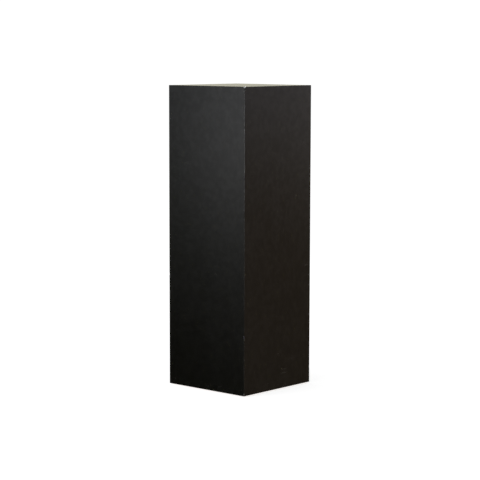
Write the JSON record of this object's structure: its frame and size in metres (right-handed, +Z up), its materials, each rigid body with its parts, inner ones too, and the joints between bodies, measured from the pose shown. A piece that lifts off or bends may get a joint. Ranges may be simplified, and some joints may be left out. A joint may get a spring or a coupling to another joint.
{
  "type": "display plinth",
  "caption": "Tall square satin black display plinth: mitred boards round a batten frame, removable base board, levelling feet.",
  "frame": {"origin": "on the floor under the middle of the plinth, the feet screwed right in", "axes": "+Z up; -Y is the front face and +X the right face, on a square plinth whose four sides are alike"},
  "size_m": [0.3, 0.3, 0.9],
  "materials": {
    "painted_board": "MDF board with rolled satin black paint",
    "raw_board": "raw MDF board, sawn edges",
    "softwood": "planed pine batten",
    "beech": "pressed beech",
    "zinc_plated_steel": "bright zinc plate",
    "black_nylon": "moulded black nylon"
  },
  "bodies": {
    "shell": {"front_panel": "painted_board", "right_panel": "painted_board", "back_panel": "painted_board", "left_panel": "painted_board", "top_panel": "painted_board", "base_batten_front": "softwood", "base_batten_back": "softwood", "base_batten_left": "softwood", "base_batten_right": "softwood", "top_batten_front": "softwood", "top_batten_back": "softwood", "top_batten_left": "softwood", "top_batten_right": "softwood", "corner_batten_front_left": "softwood", "corner_batten_front_right": "softwood", "corner_batten_back_left": "softwood", "corner_batten_back_right": "softwood", "corner_biscuits": "beech", "top_biscuits": "beech", "base_batten_screws": "zinc_plated_steel", "top_batten_screws": "zinc_plated_steel", "corner_batten_screws": "zinc_plated_steel", "cap_screws": "zinc_plated_steel", "base_board_screws": "zinc_plated_steel", "base_board": "raw_board", "tee_nuts": "zinc_plated_steel"},
    "pad_front_left": {"foot_pad_front_left": "black_nylon"},
    "stud_front_left": {"foot_stud_front_left": "zinc_plated_steel"},
    "pad_front_right": {"foot_pad_front_right": "black_nylon"},
    "stud_front_right": {"foot_stud_front_right": "zinc_plated_steel"},
    "pad_back_left": {"foot_pad_back_left": "black_nylon"},
    "stud_back_left": {"foot_stud_back_left": "zinc_plated_steel"},
    "pad_back_right": {"foot_pad_back_right": "black_nylon"},
    "stud_back_right": {"foot_stud_back_right": "zinc_plated_steel"}
  },
  "joints": [
    {"name": "level_front_left", "type": "slide", "parent": "shell", "child": "pad_front_left", "axis": [0, 0, -1], "range_m": [0, 0.012]},
    {"name": "turn_front_left", "type": "hinge", "parent": "pad_front_left", "child": "stud_front_left", "pos_m": [-0.092, -0.092, 0.011], "axis": [0, 0, -1], "range_deg": [0, 3456]},
    {"name": "level_front_right", "type": "slide", "parent": "shell", "child": "pad_front_right", "axis": [0, 0, -1], "range_m": [0, 0.012]},
    {"name": "turn_front_right", "type": "hinge", "parent": "pad_front_right", "child": "stud_front_right", "pos_m": [0.092, -0.092, 0.011], "axis": [0, 0, -1], "range_deg": [0, 3456]},
    {"name": "level_back_left", "type": "slide", "parent": "shell", "child": "pad_back_left", "axis": [0, 0, -1], "range_m": [0, 0.012]},
    {"name": "turn_back_left", "type": "hinge", "parent": "pad_back_left", "child": "stud_back_left", "pos_m": [-0.092, 0.092, 0.011], "axis": [0, 0, -1], "range_deg": [0, 3456]},
    {"name": "level_back_right", "type": "slide", "parent": "shell", "child": "pad_back_right", "axis": [0, 0, -1], "range_m": [0, 0.012]},
    {"name": "turn_back_right", "type": "hinge", "parent": "pad_back_right", "child": "stud_back_right", "pos_m": [0.092, 0.092, 0.011], "axis": [0, 0, -1], "range_deg": [0, 3456]}
  ],
  "couplings": [
    {"joint": "turn_front_left", "follows": "level_front_left", "rad_per_m": 5026.5},
    {"joint": "turn_front_right", "follows": "level_front_right", "rad_per_m": 5026.5},
    {"joint": "turn_back_left", "follows": "level_back_left", "rad_per_m": 5026.5},
    {"joint": "turn_back_right", "follows": "level_back_right", "rad_per_m": 5026.5}
  ]
}
